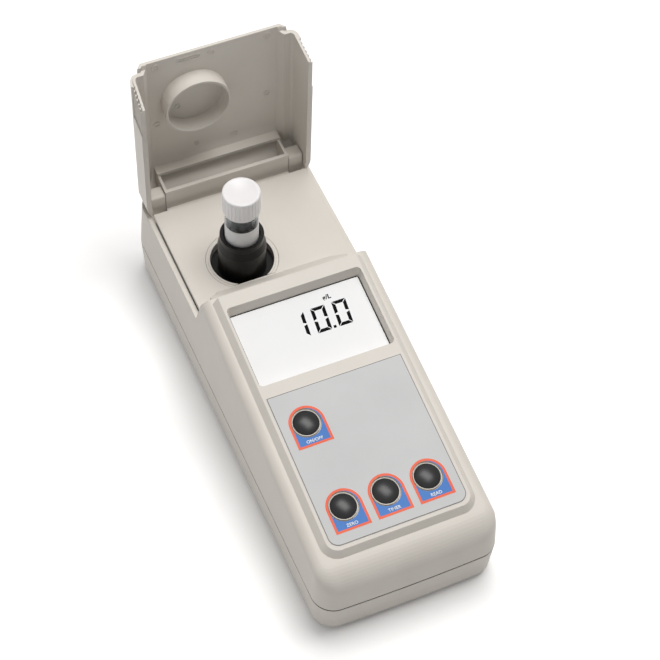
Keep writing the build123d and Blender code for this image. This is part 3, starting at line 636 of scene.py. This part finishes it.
def raised(name, bm, low, thickness, material, place=on_panel, body="housing"):
    made = bmesh.ops.extrude_face_region(bm, geom=bm.faces[:])
    for item in made["geom"]:
        if isinstance(item, bmesh.types.BMVert):
            item.co.z += thickness
    for vert in bm.verts:
        vert.co = place(vert.co.x, vert.co.y, low + vert.co.z)
    piece(name, bm, material, body)


def flat_piece(name, loops, low, thickness, material, place=on_panel, body="housing"):
    bm = bmesh.new()
    edges = []
    for loop in loops:
        verts = [bm.verts.new((x, y, 0)) for x, y in loop]
        edges += [bm.edges.new((verts[i - 1], verts[i])) for i in range(len(verts))]
    bmesh.ops.triangle_fill(bm, use_beauty=True, use_dissolve=False, edges=edges)
    raised(name, bm, low, thickness, material, place, body)


def words(name, text, x, along, size, weight, low, thickness, material, slot, shear=0.0):
    curve = bpy.data.curves.new(name, "FONT")
    curve.body = text
    curve.size = size
    curve.align_x = "CENTER"
    curve.shear = shear
    curve.offset = weight
    curve.space_character = LETTER_SPACE
    holder = link(bpy.data.objects.new(name + "_curve", curve))
    bpy.context.view_layer.update()
    shape = holder.evaluated_get(bpy.context.evaluated_depsgraph_get())
    flat = bpy.data.meshes.new_from_object(shape)
    bpy.data.objects.remove(holder)
    bm = bmesh.new()
    bm.from_mesh(flat)
    bpy.data.meshes.remove(flat)
    bmesh.ops.remove_doubles(bm, verts=bm.verts[:], dist=LETTER_WELD)
    bmesh.ops.translate(bm, verts=bm.verts[:], vec=(x, along, 0))
    raised(name, bm, low, thickness, material)


# arches and words round the keys
def arch(x, foot, shoulder, half):
    return [(x - half, foot), (x + half, foot)] + arc(x, shoulder, half, 0, math.pi, ARCH_STEPS)


def key_prints():
    orange = orange_print()
    blue = blue_print()
    white = white_print()
    fill_thickness = PRINT_THICKNESS - FILL_STEP
    word_low = LABEL_TOP + fill_thickness
    for key, (key_x, along, text) in KEY_PLACES.items():
        x = key_x + ARCH_SHIFT
        foot = along - ARCH_FOOT
        shoulder = along + ARCH_TOP - ARCH_HALF
        outside = arch(x, foot, shoulder, ARCH_HALF)
        inside = arch(x, foot + ARCH_LINE, shoulder, ARCH_HALF - ARCH_LINE)
        hole = ring(key_x, along, KEY_HOLE, KEY_HOLE_STEPS)
        flat_piece(key + "_arch_line", [outside, inside], LABEL_TOP, PRINT_THICKNESS, orange)
        flat_piece(key + "_arch_fill", [inside, hole], LABEL_TOP, fill_thickness, blue)
        word_foot = foot + ARCH_LINE + WORD_RISE
        words(
            key + "_word", text, x, word_foot, WORD_SIZE, WORD_WEIGHT,
            word_low, THIN_PRINT, white, "label",
        )


key_prints()


# thin line round the label
def label_outline(inset):
    half = LABEL_HALF_WIDTH - inset
    rear = LABEL_REAR - inset
    corner = LABEL_CORNER - inset
    y = LABEL_FRONT + inset + corner
    left_corner = arc(-half + corner, y, corner, math.pi, 1.5 * math.pi, CORNER_STEPS)
    right_corner = arc(half - corner, y, corner, 1.5 * math.pi, 2 * math.pi, CORNER_STEPS)
    return left_corner + right_corner + [(half, rear), (-half, rear)]


def label_line():
    loops = [label_outline(0.0), label_outline(LABEL_LINE)]
    flat_piece("label_edge", loops, LABEL_TOP, THIN_PRINT, label_edge_ink())


label_line()


# one segment of a digit: a on top, b and c on the right, d below, e and f on the left
def segment(letter):
    wide = DIGIT_WIDTH
    high = DIGIT_HEIGHT
    thick = SEGMENT_WIDTH
    gap = SEGMENT_GAP
    if letter in "ad":
        shape = [
            (gap, high),
            (wide - gap, high),
            (wide - thick - gap, high - thick),
            (thick + gap, high - thick),
        ]
    else:
        shape = [
            (wide, high - gap),
            (wide, high / 2 + gap),
            (wide - thick, high / 2 + thick / 2),
            (wide - thick, high - thick - gap),
        ]
    if letter in "ef":
        shape = [(wide - x, y) for x, y in shape]
    if letter in "cde":
        shape = [(x, high - y) for x, y in shape]
    return shape


# digits, decimal point and unit on the display
def display_reading():
    low = DISPLAY_TOP + DISPLAY_CLEAR
    for digit, left, lit in DIGITS:
        for letter in lit:
            shape = [(left + x + DIGIT_SLANT * y, DIGIT_BASE + y) for x, y in segment(letter)]
            name = "digit_" + digit + "_" + letter
            flat_piece(name, [shape], low, PRINT_THICKNESS, ink_finish)
    x, along = POINT_AT
    half = POINT_SIDE / 2
    point = [
        (x - half, along - half),
        (x + half, along - half),
        (x + half, along + half),
        (x - half, along + half),
    ]
    flat_piece("digit_point", [point], low, PRINT_THICKNESS, ink_finish)
    words(
        "unit_word", "g/L", *UNIT_AT, UNIT_SIZE, UNIT_WEIGHT,
        low, PRINT_THICKNESS, ink_finish, "black", DIGIT_SLANT,
    )


display_reading()


# vial, cap and band, round the upright axis of the node that each one replaces
def axis_of(node):
    low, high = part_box(node)
    return (low[0] + high[0]) / 2 / MM, (low[1] + high[1]) / 2 / MM


def round_point(axis, reach, turn, height):
    x = axis[0] + reach * math.cos(turn)
    y = axis[1] + reach * math.sin(turn)
    return Vector((x, y, height)) * MM


def rib_groove(turn):
    return RIB_DEPTH * max(0.0, math.cos(CAP_RIBS * turn) - RIB_FLAT) / (1 - RIB_FLAT)


# turns a closed profile of radius and height, with one vertex where it meets the axis
def turned(name, profile, material, body, replaced, steps, ribbed=()):
    axis = axis_of(replaced)
    bm = bmesh.new()
    loops = []
    for number, (radius, height) in enumerate(profile):
        loop = []
        for step in range(steps if radius else 1):
            turn = 2 * math.pi * step / steps
            groove = rib_groove(turn) if number in ribbed else 0.0
            loop.append(bm.verts.new(round_point(axis, radius - groove, turn, height)))
        loops.append(loop)
    for loop, after in zip(loops, loops[1:] + loops[:1]):
        for step in range(steps):
            other = (step + 1) % steps
            if len(loop) == len(after) == steps:
                bm.faces.new((loop[step], loop[other], after[other], after[step]))
            elif len(after) == steps:
                bm.faces.new((loop[0], after[other], after[step]))
            elif len(loop) == steps:
                bm.faces.new((loop[step], loop[other], after[0]))
    obj = piece(name, bm, material, body, smooth=True)
    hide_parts(replaced)


# ribbed cap with a rounded top edge and a slightly sunk top
def cap_piece():
    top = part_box("vial_cap")[1][2] / MM
    foot = top - CAP_HEIGHT
    profile = [(CAP_RADIUS - CAP_CHAMFER, foot), (CAP_RADIUS, foot + CAP_CHAMFER)]
    profile += arc(CAP_RADIUS - CAP_ROUND, top - CAP_ROUND, CAP_ROUND, 0, math.pi / 2, CAP_ROUND_STEPS)
    profile += [
        (CAP_RADIUS - CAP_RIM, top),
        (CAP_RADIUS - CAP_RIM - CAP_RIM_SLOPE, top - CAP_DISH),
        (0, top - CAP_DISH),
        (0, top - CAP_WALL),
        (CAP_BORE, top - CAP_WALL),
        (CAP_BORE, foot),
    ]
    steps = CAP_RIBS * RIB_STEPS
    turned("cap_shell", profile, cap_finish, "cap", "vial_cap", steps, ribbed=(1, 2))


# glass tube with a thick floor, a short shoulder and a narrower neck
def vial_piece():
    low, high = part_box("sample_vial")
    foot = low[2] / MM
    top = high[2] / MM
    neck_bore = GLASS_NECK - GLASS_WALL
    profile = [
        (0, foot),
        (GLASS_RADIUS - GLASS_FOOT, foot),
        (GLASS_RADIUS - GLASS_FOOT_CUT, foot + GLASS_FOOT_CUT),
        (GLASS_RADIUS, foot + GLASS_FOOT),
        (GLASS_RADIUS, GLASS_SHOULDER - SHOULDER_DROP),
        (GLASS_RADIUS - SHOULDER_CUT[0], GLASS_SHOULDER - SHOULDER_CUT[1]),
        (GLASS_NECK, GLASS_SHOULDER),
        (GLASS_NECK, top),
        (neck_bore, top),
        (neck_bore, GLASS_SHOULDER - SHOULDER_DROP),
        (GLASS_BORE, GLASS_SHOULDER - SHOULDER_INSIDE),
        (GLASS_BORE, foot + GLASS_FLOOR),
        (0, foot + GLASS_FLOOR),
    ]
    turned("vial_tube", profile, glass_finish, "vial", "sample_vial", GLASS_STEPS)


# band of paper, bent round part of the glass
def band_piece():
    axis = axis_of("vial_band")
    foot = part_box("vial_band")[0][2] / MM
    inner = GLASS_RADIUS + BAND_CLEAR
    outer = inner + BAND_THICKNESS
    section = [(inner, foot), (outer, foot), (outer, BAND_TOP), (inner, BAND_TOP)]
    bm = bmesh.new()
    rows = []
    for step in range(BAND_STEPS + 1):
        turn = BAND_MIDDLE + BAND_SWEEP * (step / BAND_STEPS - 0.5)
        points = [round_point(axis, reach, turn, height) for reach, height in section]
        rows.append([bm.verts.new(point) for point in points])
    sides = len(section)
    for row, after in zip(rows, rows[1:]):
        for side in range(sides):
            other = (side + 1) % sides
            bm.faces.new((row[side], row[other], after[other], after[side]))
    bm.faces.new(rows[0])
    bm.faces.new(rows[-1])
    band = piece("band_sheet", bm, paper_finish, "vial", smooth=True)
    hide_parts("vial_band")


cap_piece()
vial_piece()
band_piece()


# raised lip round the mouth of the well, cut off straight where the well's ring is
def well_lip():
    low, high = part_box("well_ring")
    radius = (high[0] - low[0]) / 2 / MM
    x = (low[0] + high[0]) / 2 / MM
    y = high[1] / MM - radius
    cut = low[1] / MM - y
    outer_start = math.asin(cut / LIP_OUTER)
    inner_start = math.asin(cut / LIP_INNER)
    outside = arc(x, y, LIP_OUTER, outer_start, math.pi - outer_start, LIP_STEPS)
    inside = arc(x, y, LIP_INNER, inner_start, math.pi - inner_start, LIP_STEPS)
    loop = outside + inside[::-1]
    flat_piece("well_lip", [loop], high[2] / MM, LIP_HEIGHT, case_finish, on_deck)


well_lip()


# dark strip laid on the ledge of the parting groove: painted shadow for the deep gap between the two
# housing shells
def parting_painted_shadow():
    shell = nodes["lower_shell"]
    bm = bmesh.new()
    bm.from_mesh(shell.data)
    bm.transform(shell.matrix_world)
    other = []
    for face in bm.faces:
        if max(abs(vert.co.z / MM - LEDGE_AT) for vert in face.verts) > LEDGE_SLACK:
            other.append(face)
    bmesh.ops.delete(bm, geom=other, context="FACES")
    bmesh.ops.remove_doubles(bm, verts=bm.verts[:], dist=LEDGE_SLACK * MM)
    for vert in bm.verts:
        vert.co = Vector((vert.co.x, vert.co.y, 0)) * PAINTED_SHADOW_SCALE / MM
    raised("parting_painted_shadow", bm, LEDGE_AT, PAINTED_SHADOW_THICKNESS, painted_gap_shadow(), on_deck)


parting_painted_shadow()


# mould marks inside the cover: rings, and a long bar outline with a row of dots in it
def cover_mark(name, loops):
    flat_piece(name, loops, 0, MARK_PROUD, case_finish, in_cover, "cover")


def bar_outline(inset):
    x, height = BAR_AT
    end = BAR_WIDTH / 2 - inset
    reach = (BAR_LENGTH - BAR_WIDTH) / 2
    left_end = arc(x - reach, height, end, 0.5 * math.pi, 1.5 * math.pi, BAR_STEPS)
    right_end = arc(x + reach, height, end, -0.5 * math.pi, 0.5 * math.pi, BAR_STEPS)
    return left_end + right_end


def cover_marks():
    for number, (x, height, radius) in enumerate(MARKS):
        loops = [ring(x, height, radius - inset, MARK_STEPS) for inset in (0, MARK_LINE)]
        cover_mark("cover_mark_" + str(number), loops)
    cover_mark("cover_bar", [bar_outline(0), bar_outline(MARK_LINE)])
    x, height = BAR_AT
    for dot in range(BAR_DOTS):
        across = x + (dot - (BAR_DOTS - 1) / 2) * BAR_PITCH
        cover_mark("cover_dot_" + str(dot), [ring(across, height, DOT_RADIUS, BAR_STEPS)])


cover_marks()


# 1 for the rays that see a white background: from the camera, through glass or off a glossy face
def seen_rays(tree):
    path = tree.nodes.new("ShaderNodeLightPath")
    seen = path.outputs["Is Camera Ray"]
    for other in ("Is Glossy Ray", "Is Transmission Ray"):
        seen = combine(tree, "MAXIMUM", seen, path.outputs[other])
    return seen


# floor colour, a little brighter in the picture than in the light that it throws back
def floor_colour(tree, seen):
    wash = noise(tree, object_coords(tree), scale=3.0, detail=2.0, roughness=0.55)
    tone = two_tone(tree, wash, dark=(0.86, 0.86, 0.865), light=(0.88, 0.88, 0.88))
    brighter = tree.nodes.new("ShaderNodeVectorMath")
    brighter.operation = "SCALE"
    tree.links.new(tone, brighter.inputs[0])
    tree.links.new(spread(tree, seen, 1.0, FLOOR_GAIN), brighter.inputs["Scale"])
    return brighter.outputs["Vector"]


# glow that brings the far floor to white, where the lamp no longer reaches
def floor_glow(tree, seen):
    away = tree.nodes.new("ShaderNodeVectorMath")
    away.operation = "LENGTH"
    tree.links.new(object_coords(tree), away.inputs[0])
    glow = spread(tree, away.outputs["Value"], FLOOR_GLOW, 1.0, FLOOR_NEAR, FLOOR_FAR)
    return combine(tree, "MULTIPLY", glow, seen)


def floor():
    far = FLOOR_REACH
    mesh = bpy.data.meshes.new("floor")
    mesh.from_pydata([(-far, -far, 0), (far, -far, 0), (far, far, 0), (-far, far, 0)], [], [(0, 1, 2, 3)])
    material, tree, shader = new_material("floor_white")
    seen = seen_rays(tree)
    tree.links.new(floor_colour(tree, seen), shader.inputs["Base Color"])
    tree.links.new(floor_glow(tree, seen), shader.inputs["Emission Strength"])
    shader.inputs["Emission Color"].default_value = (1, 1, 1, 1)
    shader.inputs["Roughness"].default_value = 0.9
    shader.inputs["Specular IOR Level"].default_value = 0.1
    mesh.materials.append(material)
    link(bpy.data.objects.new("floor", mesh))


floor()


# world: brighter above and behind, plain white where the camera looks past the floor
def sky():
    world = bpy.data.worlds.new("world")
    bpy.context.scene.world = world
    world.use_nodes = True
    tree = world.node_tree
    toward = tree.nodes.new("ShaderNodeVectorMath")
    toward.operation = "DOT_PRODUCT"
    toward.inputs[1].default_value = SKY_TOWARD
    direction = tree.nodes.new("ShaderNodeTexCoord").outputs["Generated"]
    tree.links.new(direction, toward.inputs[0])
    level = spread(tree, toward.outputs["Value"], SKY_LOW, SKY_HIGH, SKY_EDGE, 1.0)
    strength = combine(tree, "MAXIMUM", level, seen_rays(tree))
    background = tree.nodes["Background"]
    background.inputs["Color"].default_value = SKY_COLOUR
    tree.links.new(strength, background.inputs["Strength"])


sky()


# one soft lamp, high up, to the right and a little behind
def key_light():
    data = bpy.data.lights.new("key_light", "AREA")
    data.shape = "RECTANGLE"
    data.size, data.size_y = LAMP_SIZE
    data.energy = LAMP_POWER
    data.color = LAMP_COLOUR
    lamp = link(bpy.data.objects.new("key_light", data))
    lamp.location = LAMP_AT
    lamp.rotation_euler = (LAMP_TOWARD - LAMP_AT).to_track_quat("-Z", "Y").to_euler()


key_light()
